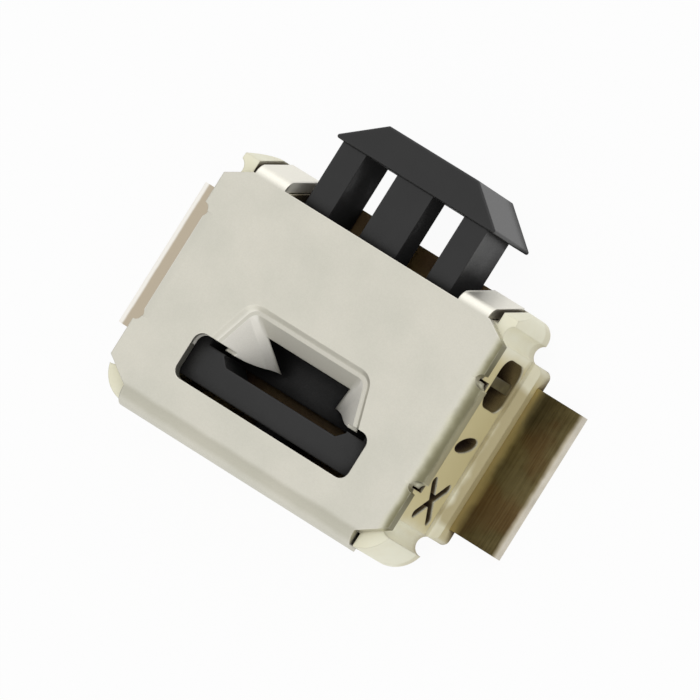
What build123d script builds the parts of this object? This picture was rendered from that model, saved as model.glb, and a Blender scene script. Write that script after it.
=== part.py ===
from build123d import *
from math import atan2, cos, degrees, radians, sin, sqrt, tan
import os

# Side-push surface-mount tactile switch, in millimetres.
# X runs across the two solder terminals, and the plunger comes out of the +Y side.
# Z = 0 is the board, and Y = 0 is midway along the cover.

# Overall sizes
cover_width = 4.7
cover_length = 3.5
total_height = 1.65
terminal_reach = 0.75           # solder terminal beyond its ledge
plunger_reach = 1.45            # head's front face ahead of the cover's front edge
margin = 1.0                    # how far a cutter runs past what it cuts

# Housing
side_step = 0.05                # housing's side and rear faces inside the cover's folded faces
front_overhang = 0.34           # posts and sill ahead of the cover's front edge
rear_corner_radius = 0.48
heel_step = 0.08                # each side is this much wider behind its ledge
post_corner_radius = 0.22
floor_height = 0.6
undercut_height = 0.33          # tapered band round the housing's foot
undercut_depth = 0.15
cavity_width = 3.3
rear_wall = 0.38                # wall that the dome bears on
post_step = 0.22                # each post's inner face inboard of the cavity wall
shoulder_length = 0.84          # post length from the sill's edge back to the plunger's stop
mouth_radius = 0.12
ledge_reach = 0.15              # side ledge beyond the housing's side
ledge_height = 0.45
ledge_rear = -1.08
ledge_front = 1.57
ledge_chamfer = 0.1
waist_depth = 0.09              # upright groove at each end of a ledge
waist_radius = 0.14
pin_mark = 0.5                  # ejector-pin marks in the underside
pin_mark_depth = 0.02
pin_mark_x = 1.05
pin_mark_y = 0.75

# Marks in each side wall
pocket_size = 0.72
pocket_depth = 0.42
pocket_radius = 0.2
pocket_y = 1.09
pocket_rib = 0.15
pocket_rib_sink = 0.06
gate_length = 0.23
gate_height = 0.6
gate_lean = 16                  # degrees from upright, lower end to the front
gate_depth = 0.2
gate_y = 0.19
star_y = -0.66
star_span = 0.62
star_arm = 0.13
star_depth = 0.2
mark_gap = 0.09                 # between the flange and the tallest mark

# Cover
sheet = 0.15
rear_cut = 0.255                # corner cut along each side, ahead of the rear lip's bend
front_cut_width = 0.36
front_cut_length = 0.2
flange_rear = -0.61
flange_front = 1.0
flange_drop = 0.37
flange_bend = 0.05              # each bend is given by its inner radius
relief_radius = 0.09
lip_width = 3.9
lip_drop = 0.36
lip_bend = 0.1
lug_width = 0.5
lug_gap = 0.03                  # lug's inner edge outboard of the channel wall
lug_angle = 75                  # fold of the front lugs, from the cover's plane
lug_drop = 0.85
lug_bend = 0.02
lug_side_gap = 0.1              # between each lug's outer edge and the post beside it
cover_clearance = 0.03

# Window in the cover
slot_inset = 0.145              # slot's ends inboard of the slider's sides
slot_length = 0.68
slot_lead = 0.07                # slot's rear edge behind the crossbar
slot_radius = 0.14
rim_gap = 0.13                  # rim's mouth inboard of the slider's rails
rim_narrowing = 0.42
rim_length = 0.625
rim_corner = 0.18
rim_sheet = 0.12
rim_slope = 36                  # from upright
rim_front_drop = 0.33
rim_wing_drop = 0.77
wing_bulge = 0.05               # rear edge of each wing behind the slot's front edge
rim_round = 0.07

# Plunger
travel = 0.2                    # until the dome lies flat on its centre pad
head_rear_width = 2.76
head_front_width = 1.5
head_length = 0.485
head_height = 1.32
head_edge = 0.03
leg_gap = 0.215                 # between each outer leg and its post
leg_thickness = 0.39
middle_leg_width = 0.6
middle_leg_depth = 0.44
slide_gap = 0.05                # above and below the slider
stop_gap = 0.02
side_gap = 0.05
rail_width = 0.3
front_bar = 0.35
crossbar_length = 0.37
gusset_width = 0.27             # thickening inboard of each rail's rear end
gusset_length = 0.14
gusset_chamfer = 0.11
web_gap = 0.12                  # slit between the crossbar and the web that closes the frame
web_thickness = 0.12
nub_radius = 0.28
nub_length = 0.08

# Dome and contacts
dome_end_gap = 0.35             # between each end of the dome and the cavity's side wall
dome_height = 0.72
dome_sheet = 0.06
dome_gap = 0.02                 # between the nub and the dome at rest
dome_corner = 0.2
contact_sheet = 0.2
contact_level = 0.2             # underside of the buried strips
terminal_rear = -0.85
terminal_front = 1.32
terminal_round = 0.05
centre_pad_width = 0.7
outer_pad_width = 0.45
outer_pad_reach = 0.05          # beyond the dome's ends
outer_pad_bar = 0.19            # height of the bar that joins the two outer pads
pad_cover = 0.02                # plastic between the pads and the seat of the rear lip
pad_gap = 0.15                  # plastic between the two contacts
strip_inset = 0.42              # buried side strip inside the housing's side
strip_width = 0.33
jog_length = 0.2                # slope that brings each terminal down to the board
foot_length = 0.52              # buried foot, forward from the back of each pad

# Places that follow from the sizes
cover_rear = -cover_length / 2
cover_front = cover_length / 2
wall_top = total_height - sheet
housing_width = cover_width - 2 * side_step
ledge_width = housing_width + 2 * ledge_reach
terminal_span = ledge_width + 2 * terminal_reach
channel_width = cavity_width - 2 * post_step
housing_rear = cover_rear + side_step
housing_front = cover_front + front_overhang
housing_length = housing_front - housing_rear
housing_middle = (housing_front + housing_rear) / 2
cavity_rear = housing_rear + rear_wall
cavity_front = housing_front - shoulder_length
slider_bottom = floor_height + slide_gap
slider_top = wall_top - slide_gap
slider_width = cavity_width - 2 * side_gap
shoulder_front = cavity_front - stop_gap
head_front = cover_front + plunger_reach
head_rear = head_front - head_length
dome_rise = travel - dome_gap + dome_sheet
nub_end = cavity_rear + dome_rise + dome_gap
crossbar_rear = nub_end + nub_length
crossbar_front = crossbar_rear + crossbar_length
slot_rear = crossbar_rear - slot_lead
slot_front = slot_rear + slot_length
slot_width = slider_width - 2 * slot_inset
rim_front = slot_front + rim_length
rim_rear_width = slider_width - 2 * rail_width - 2 * rim_gap
rim_front_width = rim_rear_width - rim_narrowing
dome_length = cavity_width - 2 * dome_end_gap
lip_seat = total_height - lip_drop - cover_clearance
flange_seat = total_height - flange_drop - cover_clearance
outer_pad_top = lip_seat - pad_cover
centre_pad_top = outer_pad_top - outer_pad_bar - pad_gap
mark_height = total_height - flange_drop - mark_gap - pocket_size / 2
flange_round = sheet + flange_bend
lip_round = sheet + lip_bend
lip_tangent = cover_rear + lip_round
lug_tangent = (sheet + lug_bend) * tan(radians(lug_angle / 2))
lug_fold = cover_front + lug_tangent
lug_inner = channel_width / 2 + lug_gap
lug_outer = lug_inner + lug_width


def block(x, y, z):
    """Box between two values along each axis."""
    size = Box(x[1] - x[0], y[1] - y[0], z[1] - z[0], align=(Align.MIN, Align.MIN, Align.MIN))
    return Pos(x[0], y[0], z[0]) * size


def both_sides(shape):
    """The shape and its mirror image across the middle plane."""
    return shape + mirror(shape, about=Plane.YZ)


def folded_section(run, drop, fold, bend):
    """Section of a sheet that runs out to its fold at (0, 0) and turns down, with the inner bend radius."""
    half = tan(radians(fold / 2))
    reach = drop / tan(radians(fold))
    across = sheet * sin(radians(fold))
    down = sheet * cos(radians(fold))
    outline = Polygon(
        (-run, -sheet),
        (-sheet * half, -sheet),
        (reach - across, -drop - down),
        (reach, -drop),
        (0, 0),
        (-run, 0),
        align=None,
    )
    corners = outline.vertices().sort_by_distance((0, 0))
    outline = fillet(corners[0], bend + sheet)
    inner = outline.vertices().sort_by_distance((-sheet * half, -sheet))[0]
    return fillet(inner, bend)


def rounded_funnel(mouth, radius):
    """Funnel that narrows down from the mouth at the rim's slope, its two front corners rounded."""
    funnel = extrude(mouth, amount=rim_wing_drop, dir=(0, 0, -1), taper=rim_slope)
    corners = funnel.edges().group_by(Axis.Z)[1].sort_by(Axis.Y)[-2:]
    return fillet(corners, radius)


def make_rim():
    """Sheet drawn down in front of the window: a sloping front and two pointed side wings."""
    half_front = rim_front_width / 2
    half_rear = half_front + rim_narrowing / 2 * (rim_front - slot_rear) / rim_length
    mouth = Polygon(
        (-half_front, rim_front),
        (half_front, rim_front),
        (half_rear, slot_rear),
        (-half_rear, slot_rear),
        align=None,
    )
    thickness = rim_sheet / cos(radians(rim_slope))
    top = Plane.XY.offset(total_height)
    around = offset(mouth, thickness, kind=Kind.INTERSECTION)
    hollow = rounded_funnel(top * mouth, rim_corner)
    drawn = rounded_funnel(top * around, rim_corner + rim_sheet)
    shell = drawn - hollow

    run = tan(radians(rim_slope))
    front_level = total_height - rim_front_drop
    tip_level = total_height - rim_wing_drop
    tip = rim_front - rim_wing_drop * run
    side = Plane.YZ * make_face(
        Polyline(
            (slot_front, total_height),
            (rim_front + 2 * thickness, total_height),
            (rim_front + 2 * thickness, front_level),
            (rim_front - rim_front_drop * run, front_level),
            (tip, tip_level),
        )
        + ThreePointArc((tip, tip_level), (slot_front - wing_bulge, front_level), (slot_front, total_height))
    )
    wings = extrude(side, amount=cover_width / 2, both=True)
    rounded = fillet(mouth.vertices().group_by(Axis.Y)[-1], rim_corner)
    flare = extrude(top * offset(rounded, rim_round), amount=rim_round, dir=(0, 0, -1), taper=45)
    ahead = block(
        (-cover_width / 2, cover_width / 2), (slot_front - slot_radius, cover_front), (0, 2 * total_height)
    )
    return shell & wings, (hollow + flare) & ahead, drawn & ahead


def make_plate():
    """Flat outline of the lid, with its rear corners cut back to the ends of the lip."""
    side = cover_width / 2
    lip_end = lip_width / 2
    slant = (side - lip_end) / rear_cut
    right = [
        (lip_end - slant * lip_round, cover_rear),
        (side, lip_tangent + rear_cut),
        (side, cover_front - front_cut_length),
        (side - front_cut_width, cover_front),
    ]
    left = [(-x, y) for x, y in reversed(right)]
    return Polygon(*right, *left, align=None)


def make_cover():
    """Folded lid: plate, rear lip, side flanges, front lugs and the window with its drawn rim."""
    cover = extrude(Plane.XY.offset(wall_top) * make_plate(), amount=sheet)
    tall = (0, 2 * total_height)

    lip_run = lip_round + sheet
    cover -= block((-lip_width / 2, lip_width / 2), (cover_rear - margin, cover_rear + lip_run), tall)
    fold = Plane((0, cover_rear, total_height), x_dir=(0, -1, 0), z_dir=(-1, 0, 0))
    lip = fold * folded_section(lip_run, lip_drop, 90, lip_bend)
    cover += extrude(lip, amount=lip_width / 2, both=True)

    flange_run = flange_round + sheet
    flange_edge = cover_width / 2
    fold = Plane((flange_edge, flange_front, total_height), x_dir=(1, 0, 0), z_dir=(0, -1, 0))
    flange = fold * folded_section(flange_run, flange_drop, 90, flange_bend)
    for_flange = block((flange_edge - flange_run, flange_edge + margin), (flange_rear, flange_front), tall)
    cover -= both_sides(for_flange)
    cover += both_sides(extrude(flange, amount=flange_front - flange_rear))
    for y in (flange_rear, flange_front):
        relief = Pos(flange_edge, y, wall_top) * Cylinder(relief_radius, 2 * total_height)
        cover -= both_sides(relief)

    fold = Plane((lug_inner, lug_fold, total_height), x_dir=(0, 1, 0), z_dir=(1, 0, 0))
    lug = fold * folded_section(lug_tangent + sheet, lug_drop, lug_angle, lug_bend)
    cover += both_sides(extrude(lug, amount=lug_width))

    rim, opening, drawn = make_rim()
    slot = Pos(0, slot_rear + slot_length / 2) * RectangleRounded(slot_width, slot_length, slot_radius)
    slot_cut = extrude(Plane.XY.offset(wall_top - sheet) * slot, amount=3 * sheet)
    cover = (cover - drawn - slot_cut) + (rim - slot_cut)
    return cover - opening


def make_contacts():
    """The two insert-moulded contacts, each one sheet from its pad to its solder terminal."""
    level = (contact_level, contact_level + contact_sheet)
    back = cavity_rear - contact_sheet
    strip_outer = housing_width / 2 - strip_inset
    strip_inner = strip_outer - strip_width
    jog_end = housing_width / 2
    jog_start = jog_end - jog_length
    jog_set = contact_sheet * tan(atan2(contact_level, jog_length) / 2)
    section = Plane.XZ.offset(-terminal_rear) * Polygon(
        (strip_inner, level[0]),
        (jog_start - jog_set, level[0]),
        (jog_end - jog_set, 0),
        (terminal_span / 2, 0),
        (terminal_span / 2, contact_sheet),
        (jog_end, contact_sheet),
        (jog_start, level[1]),
        (strip_inner, level[1]),
        align=None,
    )
    terminal = extrude(section, amount=-(terminal_front - terminal_rear))
    outer_edges = terminal.edges().filter_by(Axis.Y).group_by(Axis.X)[-1]
    terminal = fillet(outer_edges.sort_by(Axis.Z)[-1], terminal_round)
    strip = block((strip_inner, strip_outer), (back, terminal_front), level)
    foot_front = back + foot_length

    half = centre_pad_width / 2
    centre = block((-half, half), (back, cavity_rear), (level[0], centre_pad_top))
    centre += block((-half, strip_outer), (back, foot_front), level)
    centre += strip + terminal

    reach = dome_length / 2 + outer_pad_reach
    inner = reach - outer_pad_width
    outer = block((-reach, reach), (back, cavity_rear), (centre_pad_top + pad_gap, outer_pad_top))
    outer += block((inner, reach), (back, cavity_rear), (level[1] + pad_gap, outer_pad_top))
    outer += block((-reach, -inner), (back, cavity_rear), (level[0], outer_pad_top))
    outer += block((-strip_outer, -inner), (back, foot_front), level)
    outer += mirror(strip + terminal, about=Plane.YZ)
    return centre, outer


def make_side_marks():
    """Cutters for the marks in the +X side wall: a ribbed pocket, a gate dimple and a star recess."""
    wall = Plane((housing_width / 2, 0, mark_height), x_dir=(0, 1, 0), z_dir=(-1, 0, 0))
    pocket = wall * Pos(pocket_y, 0) * RectangleRounded(pocket_size, pocket_size, pocket_radius)
    marks = extrude(pocket, amount=pocket_depth)
    rib_top = housing_width / 2 - pocket_rib_sink
    marks -= block(
        (rib_top - pocket_depth, rib_top),
        (pocket_y - pocket_rib / 2, pocket_y + pocket_rib / 2),
        (0, total_height),
    )
    gate = wall * Pos(gate_y, 0) * Rot(0, 0, -gate_lean) * Ellipse(gate_length / 2, gate_height / 2)
    marks += extrude(gate, amount=gate_depth)
    arm = (star_span - star_arm) * sqrt(2) + star_arm
    for turn in (45, -45):
        stroke = wall * Pos(star_y, 0) * Rot(0, 0, turn) * SlotOverall(arm, star_arm)
        marks += extrude(stroke, amount=star_depth)
    return marks


def footed_block(plan):
    """Upright block on a tapered foot, with its rear corners rounded."""
    plan = fillet(plan.vertices().group_by(Axis.Y)[0], rear_corner_radius)
    plan = Plane.XY.offset(undercut_height) * plan
    lean = degrees(atan2(undercut_depth, undercut_height))
    foot = extrude(plan, amount=undercut_height, dir=(0, 0, -1), taper=lean)
    return foot + extrude(plan, amount=wall_top - undercut_height)


def sloped_cutter(x, start, drop):
    """Cutter between two X values, above a slope that is parallel to the front lugs."""
    run = drop / tan(radians(lug_angle))
    section = Plane.YZ.offset(x[0]) * Polygon(
        (start, wall_top),
        (start + run, wall_top - drop),
        (housing_front + margin, wall_top - drop),
        (housing_front + margin, wall_top),
        align=None,
    )
    return both_sides(extrude(section, amount=x[1] - x[0]))


def make_housing(contacts):
    """Moulded base, cut for the slider, the cover's folds, the wall marks and the buried contacts."""
    plan = Pos(0, housing_middle) * Rectangle(housing_width, housing_length)
    plan = fillet(plan.vertices().group_by(Axis.Y)[-1], post_corner_radius)
    wide = Pos(0, housing_middle) * Rectangle(housing_width + 2 * heel_step, housing_length)
    behind = block((-cover_width, cover_width), (housing_rear, ledge_rear), (0, wall_top))
    housing = footed_block(plan) + (footed_block(wide) & behind)
    half_waist = sqrt(waist_radius**2 - (waist_radius - waist_depth) ** 2)
    waist_x = housing_width / 2 + waist_radius - waist_depth
    on_foot = (Align.CENTER, Align.CENTER, Align.MIN)
    waist = Cylinder(waist_radius, total_height, align=on_foot)
    waist += Cone(waist_radius + undercut_depth, waist_radius, undercut_height, align=on_foot)
    for y in (ledge_front + half_waist, ledge_rear - half_waist):
        housing -= both_sides(Pos(waist_x, y, 0) * waist)

    ledge = block((0, ledge_width / 2), (ledge_rear, ledge_front), (0, ledge_height))
    brow = ledge.edges().group_by(Axis.X)[-1].filter_by(Axis.Y).sort_by(Axis.Z)[-1]
    ledge = chamfer(brow, ledge_chamfer)
    corners = ledge.edges().filter_by(Axis.Z).group_by(Axis.X)[-1]
    ledge = fillet(corners, ledge_chamfer)
    housing += both_sides(ledge)
    pin = Cylinder(pin_mark / 2, 2 * pin_mark_depth)
    housing -= both_sides(Pos(pin_mark_x, pin_mark_y, 0) * pin)

    above = (floor_height, 2 * total_height)
    half = cavity_width / 2
    housing -= block((-half, half), (cavity_rear, cavity_front), above)
    half = channel_width / 2
    housing -= block((-half, half), (cavity_rear, housing_front + margin), above)
    front_edges = housing.edges().filter_by(Axis.Z).group_by(Axis.Y)[-1]
    mouth_edges = front_edges.sort_by(lambda edge: abs(edge.center().X))[:2]
    housing = fillet(mouth_edges, mouth_radius)

    lug_reach = lug_drop - sheet
    behind_lug = (channel_width / 2 - mouth_radius, lug_outer + lug_side_gap)
    beside_lug = (lug_outer + lug_side_gap, cover_width / 2)
    seat_depth = lug_reach + sheet * cos(radians(lug_angle)) + cover_clearance
    housing -= sloped_cutter(behind_lug, lug_fold - lug_tangent, seat_depth)
    housing -= sloped_cutter(beside_lug, lug_fold + sheet / tan(radians(lug_angle)), lug_reach)

    for_flange = block(
        (cover_width / 2 - flange_round, cover_width),
        (flange_rear - cover_clearance, flange_front + cover_clearance),
        (flange_seat, 2 * total_height),
    )
    housing -= both_sides(for_flange)
    lip_half = lip_width / 2 + cover_clearance
    housing -= block(
        (-lip_half, lip_half),
        (housing_rear - margin, lip_tangent),
        (lip_seat, 2 * total_height),
    )
    housing -= both_sides(make_side_marks())
    for piece in contacts:
        housing -= piece
    return housing


def make_plunger():
    """Push plate: trapezoid head, three legs, and a frame that slides in the housing."""
    head = Polygon(
        (-head_rear_width / 2, head_rear),
        (head_rear_width / 2, head_rear),
        (head_front_width / 2, head_front),
        (-head_front_width / 2, head_front),
        align=None,
    )
    plunger = extrude(Plane.XY.offset(wall_top - head_height) * head, amount=head_height)
    plunger = fillet(plunger.edges(), head_edge)

    legs = (shoulder_front - front_bar, head_rear + head_edge)
    tall = (slider_bottom, slider_top)
    outer = channel_width / 2 - leg_gap
    leg = block((outer - leg_thickness, outer), legs, tall)
    plunger += both_sides(leg)
    half = middle_leg_width / 2
    plunger += block((-half, half), legs, (slider_top - middle_leg_depth, slider_top))

    half = slider_width / 2
    plunger += block((-half, half), (shoulder_front - front_bar, shoulder_front), tall)
    plunger += block((-half, half), (crossbar_rear, crossbar_front), tall)
    rail = block((half - rail_width, half), (crossbar_rear, shoulder_front), tall)
    inner = half - rail_width - gusset_width
    gusset = Plane.XY.offset(slider_bottom) * Polygon(
        (inner - gusset_chamfer, crossbar_front),
        (half, crossbar_front),
        (half, crossbar_front + gusset_length),
        (inner, crossbar_front + gusset_length),
        (inner, crossbar_front + gusset_chamfer),
        align=None,
    )
    plunger += both_sides(rail + extrude(gusset, amount=slider_top - slider_bottom))
    plunger += block(
        (rail_width - half, half - rail_width),
        (crossbar_front + web_gap, shoulder_front - front_bar),
        (slider_bottom, slider_bottom + web_thickness),
    )
    middle = (slider_bottom + slider_top) / 2
    nub = Plane((0, crossbar_rear, middle), x_dir=(1, 0, 0), z_dir=(0, -1, 0)) * Circle(nub_radius)
    return plunger + extrude(nub, amount=nub_length)


def make_dome():
    """Trimmed dome strip, standing on its long edge with its crown towards the plunger."""
    bend = ((dome_length / 2) ** 2 + dome_rise**2) / (2 * dome_rise)
    middle = (slider_bottom + slider_top) / 2
    centre = Pos(0, nub_end - dome_gap - bend, middle)
    shell = centre * (Sphere(bend) - Sphere(bend - dome_sheet))
    outline = Plane((0, cavity_rear, middle), x_dir=(1, 0, 0), z_dir=(0, 1, 0)) * RectangleRounded(
        dome_length, dome_height, dome_corner
    )
    return shell & extrude(outline, amount=2 * dome_rise)


centre_contact, outer_contact = make_contacts()
nodes = {
    "housing": make_housing((centre_contact, outer_contact)),
    "cover": make_cover(),
    "plunger": make_plunger(),
    "click_dome": make_dome(),
    "centre_contact": centre_contact,
    "outer_contact": outer_contact,
}

os.makedirs("parts", exist_ok=True)
for name, shape in nodes.items():
    export_step(shape, f"parts/{name}.step")
    print(name, round(shape.volume, 4), len(shape.solids()))
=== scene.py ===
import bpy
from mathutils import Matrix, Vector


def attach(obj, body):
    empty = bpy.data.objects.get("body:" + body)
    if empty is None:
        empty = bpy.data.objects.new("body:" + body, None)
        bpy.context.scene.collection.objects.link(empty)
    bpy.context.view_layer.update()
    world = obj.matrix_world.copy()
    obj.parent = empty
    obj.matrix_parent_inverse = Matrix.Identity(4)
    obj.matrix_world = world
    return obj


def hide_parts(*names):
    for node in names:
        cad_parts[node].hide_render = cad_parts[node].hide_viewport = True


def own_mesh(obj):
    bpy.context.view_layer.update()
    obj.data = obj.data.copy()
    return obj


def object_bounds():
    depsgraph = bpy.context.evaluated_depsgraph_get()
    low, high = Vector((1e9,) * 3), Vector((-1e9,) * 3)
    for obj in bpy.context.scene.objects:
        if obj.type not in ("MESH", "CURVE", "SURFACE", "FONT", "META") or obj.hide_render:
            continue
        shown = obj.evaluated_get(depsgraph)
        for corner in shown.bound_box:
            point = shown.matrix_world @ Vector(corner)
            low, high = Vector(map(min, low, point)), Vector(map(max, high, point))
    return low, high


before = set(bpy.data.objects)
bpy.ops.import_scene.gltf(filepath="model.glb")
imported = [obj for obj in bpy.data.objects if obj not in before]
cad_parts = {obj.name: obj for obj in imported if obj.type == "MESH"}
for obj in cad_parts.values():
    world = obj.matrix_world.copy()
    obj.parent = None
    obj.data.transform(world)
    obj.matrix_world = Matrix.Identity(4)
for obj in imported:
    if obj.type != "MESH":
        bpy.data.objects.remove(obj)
cadBox = [list(corner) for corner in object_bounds()]

import math

import bpy
from mathutils import Matrix, Vector

print("frame loaded:", len(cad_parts), "pieces")
scene = bpy.context.scene
millimetre = 0.001      # in metres, the unit of the scene
white = (1.0, 1.0, 1.0, 1.0)

cameraPlan = {
    "tilt": 24.5,           # degrees off straight down, towards the +X terminal
    "turn": 32.0,           # degrees that the picture is turned about the line of sight
    "distance": 0.2,        # far off, so the sides stay almost parallel
    "clipFactor": 10,       # the clip planes lie this many times nearer and farther
    "pictureWidth": 0.00914,
    "slideRight": -0.00002,  # the aim, off the middle of the part
    "slideUp": -0.000316,
}


def makeCamera(plan):
    low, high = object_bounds()
    tilt, turn = math.radians(plan["tilt"]), math.radians(plan["turn"])
    back = Vector((math.sin(tilt), 0, math.cos(tilt)))
    across = Vector((math.cos(tilt), 0, -math.sin(tilt)))
    along = Vector((0, 1, 0))
    right = across * math.cos(turn) + along * math.sin(turn)
    up = along * math.cos(turn) - across * math.sin(turn)
    aim = (low + high) / 2 + right * plan["slideRight"] + up * plan["slideUp"]
    data = bpy.data.cameras.new("camera")
    data.type = "PERSP"
    data.lens = data.sensor_width * plan["distance"] / plan["pictureWidth"]
    data.clip_start = plan["distance"] / plan["clipFactor"]
    data.clip_end = plan["distance"] * plan["clipFactor"]
    camera = bpy.data.objects.new("camera", data)
    scene.collection.objects.link(camera)
    turned = Matrix((right, up, back)).transposed().to_4x4()
    camera.matrix_world = Matrix.Translation(aim + back * plan["distance"]) @ turned
    scene.camera = camera


makeCamera(cameraPlan)
print("camera set")


def addNode(tree, kind, values=None, **settings):
    node = tree.nodes.new(kind)
    for name, value in settings.items():
        setattr(node, name, value)
    for socket, value in (values or {}).items():
        node.inputs[socket].default_value = value
    return node


def join(tree, start, end):
    tree.links.new(start, end)


def feed(tree, value, socket):      # a plain number or colour is set, and anything else is joined
    if isinstance(value, (int, float, tuple)):
        socket.default_value = value
    else:
        join(tree, value, socket)


def maths(tree, operation, first, second=None, clamp=False):
    node = addNode(tree, "ShaderNodeMath", operation=operation, use_clamp=clamp)
    feed(tree, first, node.inputs[0])
    if second is not None:
        feed(tree, second, node.inputs[1])
    return node.outputs[0]


def allOf(tree, *masks):    # where every mask holds
    shared = masks[0]
    for mask in masks[1:]:
        shared = maths(tree, "MULTIPLY", shared, mask)
    return shared


def apart(tree, value, middle):     # how far a value lies from the middle, to either side
    return maths(tree, "ABSOLUTE", maths(tree, "SUBTRACT", value, middle))


def spread(tree, value, low, high, outLow=0.0, outHigh=1.0):
    node = addNode(tree, "ShaderNodeMapRange", interpolation_type="SMOOTHSTEP")
    join(tree, value, node.inputs["Value"])
    for name, number in (("From Min", low), ("From Max", high), ("To Min", outLow), ("To Max", outHigh)):
        feed(tree, number, node.inputs[name])
    return node.outputs["Result"]


def between(tree, mask, whereNone, whereFull):
    return spread(tree, mask, 0.0, 1.0, whereNone, whereFull)


mixSockets = {"mask": 0, "first": 6, "second": 7, "result": 2}      # those of a mix node's colours


def blendColour(tree, mask, first, second):
    node = addNode(tree, "ShaderNodeMix", data_type="RGBA")
    feed(tree, mask, node.inputs[mixSockets["mask"]])
    feed(tree, first, node.inputs[mixSockets["first"]])
    feed(tree, second, node.inputs[mixSockets["second"]])
    return node.outputs[mixSockets["result"]]


def startGroup(name, inputs, outputs):
    tree = bpy.data.node_groups.new(name, "ShaderNodeTree")
    for label, kind, value in inputs:
        socket = tree.interface.new_socket(label, in_out="INPUT", socket_type=kind)
        if value is not None:
            socket.default_value = value
    for label, kind in outputs:
        tree.interface.new_socket(label, in_out="OUTPUT", socket_type=kind)
    return tree, addNode(tree, "NodeGroupInput").outputs, addNode(tree, "NodeGroupOutput").inputs


def useGroup(tree, group, values, **linked):
    node = addNode(tree, "ShaderNodeGroup", values, node_tree=group)
    for name, socket in linked.items():
        join(tree, socket, node.inputs[name])
    return node.outputs


def inMillimetres(tree):
    place = addNode(tree, "ShaderNodeTexCoord")
    scale = addNode(tree, "ShaderNodeVectorMath", {"Scale": 1 / millimetre}, operation="SCALE")
    join(tree, place.outputs["Object"], scale.inputs[0])
    return scale.outputs[0]


def inverse(tree, size):
    return maths(tree, "DIVIDE", 1.0, size)


def addNoise(tree, place, scale, detail, roughness=0.5):
    noise = addNode(tree, "ShaderNodeTexNoise", {"Detail": detail})
    join(tree, place, noise.inputs["Vector"])
    feed(tree, scale, noise.inputs["Scale"])
    feed(tree, roughness, noise.inputs["Roughness"])
    return noise.outputs["Fac"]


def addRelief(tree, height, depth, under):
    bump = addNode(tree, "ShaderNodeBump")
    join(tree, height, bump.inputs["Height"])
    join(tree, maths(tree, "MULTIPLY", depth, millimetre), bump.inputs["Distance"])
    join(tree, under, bump.inputs["Normal"])
    return bump.outputs["Normal"]


effectPlan = {
    "patchDetail": 4.0,
    "patchLow": 0.3,        # levels of the noise that read as none and as full
    "patchHigh": 0.7,
    "grainDetail": 3.0,
    "grainRoughness": 0.6,
    "lineDetail": 2.0,
    "lineRoughness": 0.5,
    "fineLow": 0.35,        # the same levels for the grain and the lines
    "fineHigh": 0.65,
    "bevelSamples": 6,
    "turnLeast": 0.005,     # how far a softened edge turns from its face
    "turnFull": 0.12,
    "wearScale": 9.0,
    "wearDetail": 3.0,
    "wearLow": 0.35,
    "wearHigh": 0.6,
    "recessSamples": 8,
    "bandDetail": 3.0,
    "bandMiddle": 0.5,      # mean level of the noise that makes a band ragged
}
numberSocket, vectorSocket = "NodeSocketFloat", "NodeSocketVector"


def makePatchGroup(plan):   # soft patches of lighter and darker surface
    tree, ins, outs = startGroup(
        "softPatches", [("Patch Size", numberSocket, 1.0), ("Roughness", numberSocket, 0.55)],
        [("Tone", numberSocket)],
    )
    scale = inverse(tree, ins["Patch Size"])
    noise = addNoise(tree, inMillimetres(tree), scale, plan["patchDetail"], ins["Roughness"])
    join(tree, spread(tree, noise, plan["patchLow"], plan["patchHigh"]), outs["Tone"])
    return tree


def makeGrainGroup(plan):   # fine moulded or matt-plated grain
    tree, ins, outs = startGroup(
        "fineGrain",
        [("Grain Size", numberSocket, 0.03), ("Depth", numberSocket, 0.001), ("Normal", vectorSocket, None)],
        [("Normal", vectorSocket), ("Grain", numberSocket)],
    )
    scale = inverse(tree, ins["Grain Size"])
    noise = addNoise(tree, inMillimetres(tree), scale, plan["grainDetail"], plan["grainRoughness"])
    join(tree, addRelief(tree, noise, ins["Depth"], ins["Normal"]), outs["Normal"])
    join(tree, spread(tree, noise, plan["fineLow"], plan["fineHigh"]), outs["Grain"])
    return tree


def makeLinesGroup(plan):   # drawn-out lines left by rolling or brushing a sheet
    tree, ins, outs = startGroup(
        "rolledLines",
        [
            ("Line Width", numberSocket, 0.02),
            ("Stretch", vectorSocket, (1.0, 0.05, 1.0)),
            ("Depth", numberSocket, 0.0005),
            ("Normal", vectorSocket, None),
        ],
        [("Normal", vectorSocket), ("Lines", numberSocket)],
    )
    squeeze = addNode(tree, "ShaderNodeVectorMath", operation="MULTIPLY")
    join(tree, inMillimetres(tree), squeeze.inputs[0])
    join(tree, ins["Stretch"], squeeze.inputs[1])
    scale = inverse(tree, ins["Line Width"])
    noise = addNoise(tree, squeeze.outputs[0], scale, plan["lineDetail"], plan["lineRoughness"])
    join(tree, addRelief(tree, noise, ins["Depth"], ins["Normal"]), outs["Normal"])
    join(tree, spread(tree, noise, plan["fineLow"], plan["fineHigh"]), outs["Lines"])
    return tree


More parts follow.
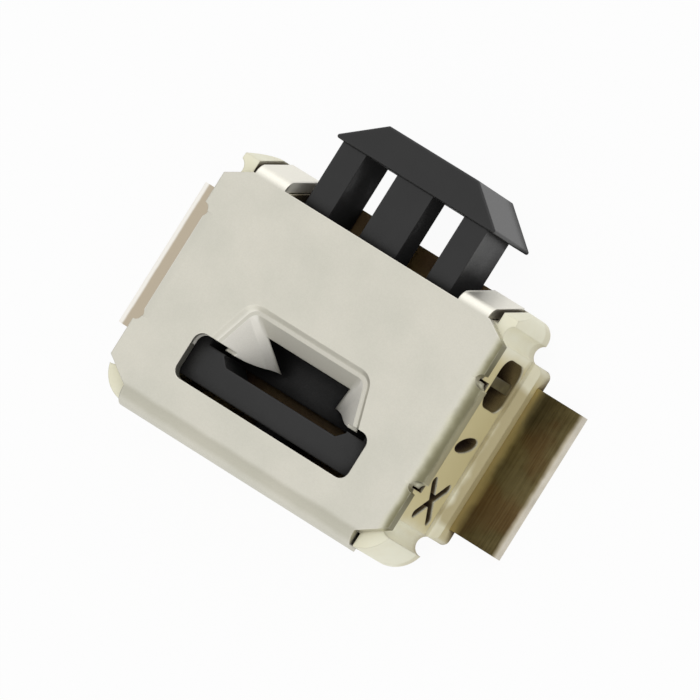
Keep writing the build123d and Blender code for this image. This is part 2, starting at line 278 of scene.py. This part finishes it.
def makeEdgeGroup(plan):    # softened edges, and a broken mask along them
    tree, ins, outs = startGroup(
        "softEdges",
        [("Radius", numberSocket, 0.02), ("Break Up", numberSocket, 0.5)],
        [("Normal", vectorSocket), ("Edge", numberSocket)],
    )
    bevel = addNode(tree, "ShaderNodeBevel", samples=plan["bevelSamples"])
    join(tree, maths(tree, "MULTIPLY", ins["Radius"], millimetre), bevel.inputs["Radius"])
    agree = addNode(tree, "ShaderNodeVectorMath", operation="DOT_PRODUCT")
    join(tree, bevel.outputs["Normal"], agree.inputs[0])
    join(tree, addNode(tree, "ShaderNodeNewGeometry").outputs["Normal"], agree.inputs[1])
    turned = maths(tree, "SUBTRACT", 1.0, agree.outputs["Value"])
    turned = spread(tree, turned, plan["turnLeast"], plan["turnFull"])
    # break-up of the edge mask, used for wear and for the painted edge highlight
    noise = addNoise(tree, inMillimetres(tree), plan["wearScale"], plan["wearDetail"])
    worn = spread(tree, noise, plan["wearLow"], plan["wearHigh"])
    kept = maths(tree, "SUBTRACT", 1.0, ins["Break Up"])
    worn = maths(tree, "ADD", kept, maths(tree, "MULTIPLY", worn, ins["Break Up"]))
    join(tree, bevel.outputs["Normal"], outs["Normal"])
    join(tree, maths(tree, "MULTIPLY", turned, worn), outs["Edge"])
    return tree


def makeRecessGroup(plan):  # how shut in a spot is: corners, pockets and slots
    tree, ins, outs = startGroup("recesses", [("Reach", numberSocket, 0.2)], [("Shade", numberSocket)])
    shut = addNode(tree, "ShaderNodeAmbientOcclusion", samples=plan["recessSamples"])
    join(tree, maths(tree, "MULTIPLY", ins["Reach"], millimetre), shut.inputs["Distance"])
    join(tree, maths(tree, "SUBTRACT", 1.0, shut.outputs["AO"], clamp=True), outs["Shade"])
    return tree


def makeBandGroup(plan):    # a band that starts at one distance and is full at another, with a ragged edge
    tree, ins, outs = startGroup(
        "bands",
        [
            ("Distance", numberSocket, 0.0),
            ("Start", numberSocket, 0.0),
            ("Full", numberSocket, 1.0),
            ("Ragged", numberSocket, 0.1),
            ("Patch Size", numberSocket, 0.3),
        ],
        [("Band", numberSocket)],
    )
    noise = addNoise(tree, inMillimetres(tree), inverse(tree, ins["Patch Size"]), plan["bandDetail"])
    offset = maths(tree, "SUBTRACT", noise, plan["bandMiddle"])
    offset = maths(tree, "MULTIPLY", offset, ins["Ragged"])
    place = maths(tree, "ADD", ins["Distance"], offset)
    join(tree, spread(tree, place, ins["Start"], ins["Full"]), outs["Band"])
    return tree


patches, grain, lines = makePatchGroup(effectPlan), makeGrainGroup(effectPlan), makeLinesGroup(effectPlan)
softEdges, recesses, bands = makeEdgeGroup(effectPlan), makeRecessGroup(effectPlan), makeBandGroup(effectPlan)
print("shared effects made")


def startMaterial(name, roughness, metallic=0.0, ior=1.5):
    material = bpy.data.materials.new(name)
    material.use_nodes = True
    shader = material.node_tree.nodes["Principled BSDF"].inputs
    shader["Roughness"].default_value = roughness
    shader["Metallic"].default_value = metallic
    shader["IOR"].default_value = ior
    return material, material.node_tree, shader


def places(tree):       # to the right, to either side, along the plunger's stroke and up, in millimetres
    split = addNode(tree, "ShaderNodeSeparateXYZ")
    join(tree, inMillimetres(tree), split.inputs[0])
    right, forward, height = split.outputs
    aside = maths(tree, "ABSOLUTE", right)
    return {"right": right, "aside": aside, "forward": forward, "height": height}


def facings(tree):      # which way the face looks
    split = addNode(tree, "ShaderNodeSeparateXYZ")
    join(tree, addNode(tree, "ShaderNodeNewGeometry").outputs["Normal"], split.inputs[0])
    return split.outputs


def band(tree, distance, values):
    return useGroup(tree, bands, values, Distance=distance)["Band"]


def shutIn(tree, recess):       # mask for painted shade: nothing in the open, and most where walls stand close round
    shade = useGroup(tree, recesses, {"Reach": recess["reach"]})["Shade"]
    return spread(tree, shade, recess["low"], recess["high"], 0.0, recess["most"])


def dress(nodeName, material):
    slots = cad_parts[nodeName].data.materials
    slots.clear()
    slots.append(material)


screenCurve = {     # how a screen's levels stand to light
    "levels": 255,
    "toeEnd": 0.04045,
    "toeSlope": 12.92,
    "offset": 0.055,
    "power": 2.4,
}


def tint(red, green, blue):     # a screen colour, as the shader's linear colour
    def linear(level):
        share = level / screenCurve["levels"]
        if share <= screenCurve["toeEnd"]:
            return share / screenCurve["toeSlope"]
        return ((share + screenCurve["offset"]) / (1 + screenCurve["offset"])) ** screenCurve["power"]
    return (linear(red), linear(green), linear(blue), 1.0)


coverFinish = {     # lengths in millimetres, from the middle of the board face
    "roughness": 0.42,
    "sheet": tint(213, 210, 198),
    "patch": tint(206, 204, 192),
    "patches": {"Patch Size": 0.9},
    "drawn": tint(205, 202, 190),       # painted shade: darker where the window was drawn down
    "drawnSide": tint(240, 237, 228),   # and a painted highlight: paler on its two sloping sides
    "drawnMetallic": 0.3,
    "drawnStart": 0.03,                 # below the plate
    "drawnFull": 0.09,
    "drawnAside": 1.5,
    "drawnRear": -0.57,
    "sideFacing": 0.1,                  # how far a slope turns sideways
    "sideTurned": 0.4,
    "lug": tint(238, 235, 224),         # painted sheen: paler on the bent lugs
    "lugStart": 1.73,
    "lugFull": 1.8,
    "side": tint(208, 205, 176),        # painted shade on the right side
    "sideBand": {"Start": 2.18, "Full": 2.34, "Ragged": 0.08, "Patch Size": 0.3},
    "fold": tint(128, 124, 98),         # and painted shade along the folds
    "foldAcross": {"Start": 2.22, "Full": 2.34, "Ragged": 0.06, "Patch Size": 0.2},
    "foldUp": {"Start": 1.41, "Full": 1.5, "Ragged": 0.06, "Patch Size": 0.2},
    "lipStart": {"Start": 1.44, "Full": 1.52, "Ragged": 0.05, "Patch Size": 0.4},
    "lipEnd": {"Start": 1.7, "Full": 1.6, "Ragged": 0.05, "Patch Size": 0.4},
    "lipShare": 0.3,                    # fainter along the rear lip
    "recessTint": tint(120, 114, 100),
    "recess": {"reach": 0.3, "low": 0.55, "high": 1.0, "most": 0.6},
    # edges: partly wear, partly a painted highlight
    "edge": tint(222, 219, 208),
    "edges": {"Radius": 0.022, "Break Up": 0.6},
    "edgeShare": 0.25,
    "rolling": {"Line Width": 0.02, "Stretch": (0.04, 1.0, 1.0), "Depth": 0.0004},
    "grain": {"Grain Size": 0.02, "Depth": 0.0008},
    "grainShare": 0.05,
}


def makeCoverSteel(finish):
    material, tree, shader = startMaterial("coverSteel", finish["roughness"], metallic=1.0)
    at, facing = places(tree), facings(tree)
    tone = useGroup(tree, patches, finish["patches"])["Tone"]
    colour = blendColour(tree, tone, finish["sheet"], finish["patch"])
    # the window's drawn rim: sunk below the plate, near the middle, ahead of the slot; its colours are
    # painted shade and a painted highlight
    sunk = maths(tree, "SUBTRACT", cadBox[1][2] / millimetre, at["height"])
    drawn = allOf(
        tree,
        spread(tree, sunk, finish["drawnStart"], finish["drawnFull"]),
        maths(tree, "LESS_THAN", at["aside"], finish["drawnAside"]),
        maths(tree, "GREATER_THAN", at["forward"], finish["drawnRear"]),
    )
    sideways = maths(tree, "ABSOLUTE", facing["X"])
    sideways = spread(tree, sideways, finish["sideFacing"], finish["sideTurned"])
    slopes = blendColour(tree, sideways, finish["drawn"], finish["drawnSide"])
    colour = blendColour(tree, drawn, colour, slopes)
    join(tree, between(tree, drawn, 1.0, finish["drawnMetallic"]), shader["Metallic"])
    # painted sheen on the lugs ahead of the plate
    lugs = spread(tree, at["forward"], finish["lugStart"], finish["lugFull"])
    colour = blendColour(tree, lugs, colour, finish["lug"])
    # painted shade on the right side, along the folds and the rear lip
    colour = blendColour(tree, band(tree, at["right"], finish["sideBand"]), colour, finish["side"])
    across, up = band(tree, at["right"], finish["foldAcross"]), band(tree, at["height"], finish["foldUp"])
    behind = maths(tree, "MULTIPLY", at["forward"], -1.0)
    lip = allOf(tree, band(tree, behind, finish["lipStart"]), band(tree, behind, finish["lipEnd"]))
    lip = maths(tree, "MULTIPLY", lip, finish["lipShare"])
    folds = maths(tree, "MAXIMUM", allOf(tree, across, up), lip)
    colour = blendColour(tree, folds, colour, finish["fold"])
    # painted shade in recesses
    colour = blendColour(tree, shutIn(tree, finish["recess"]), colour, finish["recessTint"])
    # wear with a painted edge highlight, rolling lines and grain
    edges = useGroup(tree, softEdges, finish["edges"])
    worn = maths(tree, "MULTIPLY", edges["Edge"], finish["edgeShare"])
    colour = blendColour(tree, worn, colour, finish["edge"])
    rolled = useGroup(tree, lines, finish["rolling"], Normal=edges["Normal"])
    fine = useGroup(tree, grain, finish["grain"], Normal=rolled["Normal"])
    # the grain's specks take the fold's dark colour
    specks = maths(tree, "MULTIPLY", fine["Grain"], finish["grainShare"])
    colour = blendColour(tree, specks, colour, finish["fold"])
    join(tree, fine["Normal"], shader["Normal"])
    join(tree, colour, shader["Base Color"])
    return material


housingFinish = {   # lengths in millimetres, from the middle of the board face
    "roughness": 0.5,
    "deepRoughness": 1.0,
    "plastic": tint(243, 241, 219),
    "patch": tint(238, 234, 208),
    "patches": {"Patch Size": 0.7},
    "side": tint(212, 200, 152),        # painted shade: the plastic is coloured warmer and darker on its upright sides
    "sideFacing": 0.75,                 # how squarely a face looks sideways
    "sideTurned": 0.97,
    "sideMiddle": 0.18,                 # middle of the side wall along the stroke
    "sideBand": {"Start": 1.4, "Full": 1.1, "Ragged": 0.2, "Patch Size": 0.5},      # from there to the posts
    "foot": tint(184, 172, 132),        # painted shade low down
    "footUp": {"Start": 0.52, "Full": 0.44, "Ragged": 0.3, "Patch Size": 0.8},
    "footInner": 2.1,
    "footOuter": 2.3,
    "footMiddle": 0.18,                 # beside the terminal
    "footBand": {"Start": 1.15, "Full": 0.95, "Ragged": 0.15, "Patch Size": 0.4},
    "footLeast": 0.35,                  # share of it that is left past there
    "grime": tint(68, 60, 36),          # painted shade in the marks in the side walls
    "lightGrime": tint(92, 84, 56),
    "grimePatches": {"Patch Size": 0.2},
    "marksMiddle": 0.24,                # along the stroke
    "marksReach": 1.26,
    "marksHeight": 0.83,
    "marksDrop": 0.4,
    "marksInner": 1.7,
    "marksSunk": 2.26,
    "marksFace": 2.29,
    "channel": tint(72, 40, 6),         # painted shade on the floor that the plunger slides on
    "channelSide": 1.66,
    "channelTop": 0.7,
    "channelBottom": 0.3,
    "channelUpward": 0.5,               # how squarely the floor looks up
    "corner": tint(176, 152, 96),       # painted shade, amber, in corners
    "cornerRecess": {"reach": 0.8, "low": 0.42, "high": 0.85, "most": 0.85},
    "deep": tint(40, 20, 4),            # and painted shade, near black, inside slots and pockets
    "deepRecess": {"reach": 0.45, "low": 0.42, "high": 0.78, "most": 1.0},
    "edges": {"Radius": 0.03, "Break Up": 0.3},
    "grain": {"Grain Size": 0.025, "Depth": 0.001},
}


def makeHousingPlastic(finish):
    material, tree, shader = startMaterial("housingPlastic", finish["roughness"])
    at, facing = places(tree), facings(tree)
    tone = useGroup(tree, patches, finish["patches"])["Tone"]
    colour = blendColour(tree, tone, finish["plastic"], finish["patch"])
    # painted shade on the sideways-facing walls
    sideways = maths(tree, "ABSOLUTE", facing["X"])
    sideways = spread(tree, sideways, finish["sideFacing"], finish["sideTurned"])
    wall = band(tree, apart(tree, at["forward"], finish["sideMiddle"]), finish["sideBand"])
    colour = blendColour(tree, allOf(tree, sideways, wall), colour, finish["side"])
    low = band(tree, at["height"], finish["footUp"])
    beside = spread(tree, at["aside"], finish["footInner"], finish["footOuter"])
    foot = band(tree, apart(tree, at["forward"], finish["footMiddle"]), finish["footBand"])
    foot = maths(tree, "MAXIMUM", foot, finish["footLeast"])
    colour = blendColour(tree, allOf(tree, low, beside, foot), colour, finish["foot"])
    # the marks, sunk below the wall's face, within the part of the wall that holds them, get painted shade
    level = apart(tree, at["forward"], finish["marksMiddle"])
    upright = apart(tree, at["height"], finish["marksHeight"])
    marks = allOf(
        tree,
        maths(tree, "LESS_THAN", level, finish["marksReach"]),
        maths(tree, "LESS_THAN", upright, finish["marksDrop"]),
        maths(tree, "GREATER_THAN", at["aside"], finish["marksInner"]),
        spread(tree, at["aside"], finish["marksFace"], finish["marksSunk"]),
    )
    uneven = useGroup(tree, patches, finish["grimePatches"])["Tone"]
    grime = blendColour(tree, uneven, finish["grime"], finish["lightGrime"])
    colour = blendColour(tree, marks, colour, grime)
    channel = allOf(
        tree,
        maths(tree, "LESS_THAN", at["aside"], finish["channelSide"]),
        maths(tree, "LESS_THAN", at["height"], finish["channelTop"]),
        maths(tree, "GREATER_THAN", at["height"], finish["channelBottom"]),
        maths(tree, "GREATER_THAN", facing["Z"], finish["channelUpward"]),
    )
    colour = blendColour(tree, channel, colour, finish["channel"])
    # painted shade in corners, slots and pockets
    colour = blendColour(tree, shutIn(tree, finish["cornerRecess"]), colour, finish["corner"])
    deep = shutIn(tree, finish["deepRecess"])
    colour = blendColour(tree, deep, colour, finish["deep"])
    join(tree, between(tree, deep, finish["roughness"], finish["deepRoughness"]), shader["Roughness"])
    edges = useGroup(tree, softEdges, finish["edges"])
    fine = useGroup(tree, grain, finish["grain"], Normal=edges["Normal"])
    join(tree, fine["Normal"], shader["Normal"])
    join(tree, colour, shader["Base Color"])
    return material


plungerFinish = {   # lengths in millimetres
    "roughness": 0.36,
    "deepRoughness": 1.0,
    "ior": 1.48,
    "plastic": tint(18, 18, 18),
    "patch": tint(12, 12, 12),
    "patches": {"Patch Size": 0.4},
    # edges: partly wear, partly a painted highlight
    "edge": tint(44, 44, 43),
    "edges": {"Radius": 0.035, "Break Up": 0.7},
    "edgeShare": 0.4,
    "deep": tint(3, 2, 2),      # painted shade below the cover
    "deepRecess": {"reach": 1.0, "low": 0.2, "high": 0.5, "most": 1.0},
    "grain": {"Grain Size": 0.03, "Depth": 0.0015},
}


def makePlungerPlastic(finish):
    material, tree, shader = startMaterial("plungerPlastic", finish["roughness"], ior=finish["ior"])
    tone = useGroup(tree, patches, finish["patches"])["Tone"]
    colour = blendColour(tree, tone, finish["plastic"], finish["patch"])
    edges = useGroup(tree, softEdges, finish["edges"])
    worn = maths(tree, "MULTIPLY", edges["Edge"], finish["edgeShare"])
    colour = blendColour(tree, worn, colour, finish["edge"])
    deep = shutIn(tree, finish["deepRecess"])
    colour = blendColour(tree, deep, colour, finish["deep"])
    join(tree, between(tree, deep, finish["roughness"], finish["deepRoughness"]), shader["Roughness"])
    fine = useGroup(tree, grain, finish["grain"], Normal=edges["Normal"])
    join(tree, fine["Normal"], shader["Normal"])
    join(tree, colour, shader["Base Color"])
    return material


domeFinish = {      # lengths in millimetres
    "roughness": 0.22,
    "steel": tint(205, 203, 198),
    "patch": tint(190, 188, 182),
    "patches": {"Patch Size": 0.3},
    "rolling": {"Line Width": 0.012, "Stretch": (0.03, 1.0, 1.0), "Depth": 0.0004},
}


def makeDomeSteel(finish):
    material, tree, shader = startMaterial("domeSteel", finish["roughness"], metallic=1.0)
    tone = useGroup(tree, patches, finish["patches"])["Tone"]
    colour = blendColour(tree, tone, finish["steel"], finish["patch"])
    rolled = useGroup(tree, lines, finish["rolling"])
    join(tree, rolled["Normal"], shader["Normal"])
    join(tree, colour, shader["Base Color"])
    return material


def makeFlexingDome(material):    # a copy of the click dome, on the base body, takes the CAD piece's place
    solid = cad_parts["click_dome"]
    dome = bpy.data.objects.new("flexing_dome", solid.data.copy())
    scene.collection.objects.link(dome)
    dome.data.materials.clear()
    dome.data.materials.append(material)
    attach(dome, "base")
    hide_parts("click_dome")
    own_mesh(dome)


rightTerminalFinish = {     # lengths in millimetres, out from the middle plane
    "roughness": 0.34,
    "plating": tint(98, 88, 59),
    "patch": tint(76, 66, 40),
    "patches": {"Patch Size": 0.45},
    "rust": tint(90, 68, 42),
    "rustPatches": {"Patch Size": 0.9, "Roughness": 0.4},
    "rustLow": 0.6,
    "rustHigh": 0.95,
    "rustMost": 0.7,
    "light": tint(200, 184, 132),       # painted reflection of the housing beside it; also the colour of the rolling streaks
    "lightBand": {"Start": 2.64, "Full": 2.47, "Ragged": 0.1, "Patch Size": 0.3},
    "lightShare": 0.8,
    "rolling": {"Line Width": 0.025, "Stretch": (1.0, 0.04, 1.0), "Depth": 0.0004},
    "streakShare": 0.06,
    "tip": tint(194, 184, 162),         # paler towards the outer end
    "tipBand": {"Start": 3.14, "Full": 3.22, "Ragged": 0.06, "Patch Size": 0.3},
    "end": tint(242, 239, 232),         # bright where the sheet was cut off
    "endBand": {"Start": 3.18, "Full": 3.24, "Ragged": 0.02, "Patch Size": 0.2},
}
leftTerminalFinish = dict(
    rightTerminalFinish,
    tip=tint(186, 174, 154),
    tipBand={"Start": 2.6, "Full": 2.94, "Ragged": 0.06, "Patch Size": 0.3},
    endBand={"Start": 3.1, "Full": 3.14, "Ragged": 0.02, "Patch Size": 0.2},
)


def makeContactMetal(name, finish):
    material, tree, shader = startMaterial(name, finish["roughness"], metallic=1.0)
    aside = places(tree)["aside"]
    tone = useGroup(tree, patches, finish["patches"])["Tone"]
    colour = blendColour(tree, tone, finish["plating"], finish["patch"])
    spots = useGroup(tree, patches, finish["rustPatches"])["Tone"]
    rusty = spread(tree, spots, finish["rustLow"], finish["rustHigh"], 0.0, finish["rustMost"])
    colour = blendColour(tree, rusty, colour, finish["rust"])
    # painted reflection of the housing on the metal beside it
    light = maths(tree, "MULTIPLY", band(tree, aside, finish["lightBand"]), finish["lightShare"])
    colour = blendColour(tree, light, colour, finish["light"])
    rolled = useGroup(tree, lines, finish["rolling"])
    streaks = maths(tree, "MULTIPLY", rolled["Lines"], finish["streakShare"])
    colour = blendColour(tree, streaks, colour, finish["light"])
    colour = blendColour(tree, band(tree, aside, finish["tipBand"]), colour, finish["tip"])
    colour = blendColour(tree, band(tree, aside, finish["endBand"]), colour, finish["end"])
    join(tree, rolled["Normal"], shader["Normal"])
    join(tree, colour, shader["Base Color"])
    return material


dress("cover", makeCoverSteel(coverFinish))
dress("housing", makeHousingPlastic(housingFinish))
dress("plunger", makePlungerPlastic(plungerFinish))
domeSteel = makeDomeSteel(domeFinish)
dress("click_dome", domeSteel)
makeFlexingDome(domeSteel)
dress("centre_contact", makeContactMetal("rightTerminal", rightTerminalFinish))
dress("outer_contact", makeContactMetal("leftTerminal", leftTerminalFinish))
print("finishes on")

studio = {
    "floorSize": 0.6,
    "floorDrop": 1e-6,      # below the board face, so that the two faces don't coincide
    "floorTone": 0.7,
    "floorWhite": 0.95,     # how much of the floor shows as plain white
    "surround": 0.8,        # even light from all round
    "lampDistance": 0.5,
    "lampSize": 0.55,
    "frontLamp": (90, 32, 0.5),     # degrees round from +X, degrees up, brightness
    "rearLamp": (-70, 36, 0.4),
}


def seenRays(tree):     # camera, glossy and transmission rays see the white surround
    path = addNode(tree, "ShaderNodeLightPath")
    seen = maths(tree, "MAXIMUM", path.outputs["Is Camera Ray"], path.outputs["Is Glossy Ray"])
    return maths(tree, "MAXIMUM", seen, path.outputs["Is Transmission Ray"])


def mixShaders(tree, mask, first, second, outputKind):
    mix = addNode(tree, "ShaderNodeMixShader")
    join(tree, mask, mix.inputs["Fac"])
    join(tree, first.outputs[0], mix.inputs[1])
    join(tree, second.outputs[0], mix.inputs[2])
    join(tree, mix.outputs[0], addNode(tree, outputKind).inputs["Surface"])


def makeFloor(plan):
    half = plan["floorSize"] / 2
    mesh = bpy.data.meshes.new("floor")
    corners = [(-half, -half, 0), (half, -half, 0), (half, half, 0), (-half, half, 0)]
    mesh.from_pydata(corners, [], [(0, 1, 2, 3)])
    floor = bpy.data.objects.new("floor", mesh)
    scene.collection.objects.link(floor)
    material = bpy.data.materials.new("floorWhite")
    material.use_nodes = True
    tree = material.node_tree
    tree.nodes.clear()
    matt = addNode(tree, "ShaderNodeBsdfDiffuse", {"Color": (plan["floorTone"],) * 3 + (1.0,)})
    plain = addNode(tree, "ShaderNodeEmission", {"Color": white, "Strength": 1.0})
    shown = maths(tree, "MULTIPLY", seenRays(tree), plan["floorWhite"])
    mixShaders(tree, shown, matt, plain, "ShaderNodeOutputMaterial")
    mesh.materials.append(material)
    floor.location.z = cadBox[0][2] - plan["floorDrop"]


def makeSurround(plan):
    world = bpy.data.worlds.new("surround")
    scene.world = world
    world.use_nodes = True
    tree = world.node_tree
    tree.nodes.clear()
    even = addNode(tree, "ShaderNodeBackground", {"Color": white, "Strength": plan["surround"]})
    plain = addNode(tree, "ShaderNodeBackground", {"Color": white, "Strength": 1.0})
    mixShaders(tree, seenRays(tree), even, plain, "ShaderNodeOutputWorld")


def addLamp(name, plan):
    around, above, brightness = plan[name]
    around, above = math.radians(around), math.radians(above)
    away = Vector((math.cos(around) * math.cos(above), math.sin(around) * math.cos(above), math.sin(above)))
    data = bpy.data.lights.new(name, "AREA")
    data.shape = "SQUARE"
    data.size = plan["lampSize"]
    data.energy = brightness * math.pi * data.size**2
    lamp = bpy.data.objects.new(name, data)
    scene.collection.objects.link(lamp)
    lamp.location = away * plan["lampDistance"]
    lamp.rotation_mode = "QUATERNION"
    lamp.rotation_quaternion = away.to_track_quat("Z", "Y")


makeFloor(studio)
makeSurround(studio)
for lampName in ("frontLamp", "rearLamp"):
    addLamp(lampName, studio)
scene.view_settings.view_transform = "Standard"
print("floor and lamps placed")
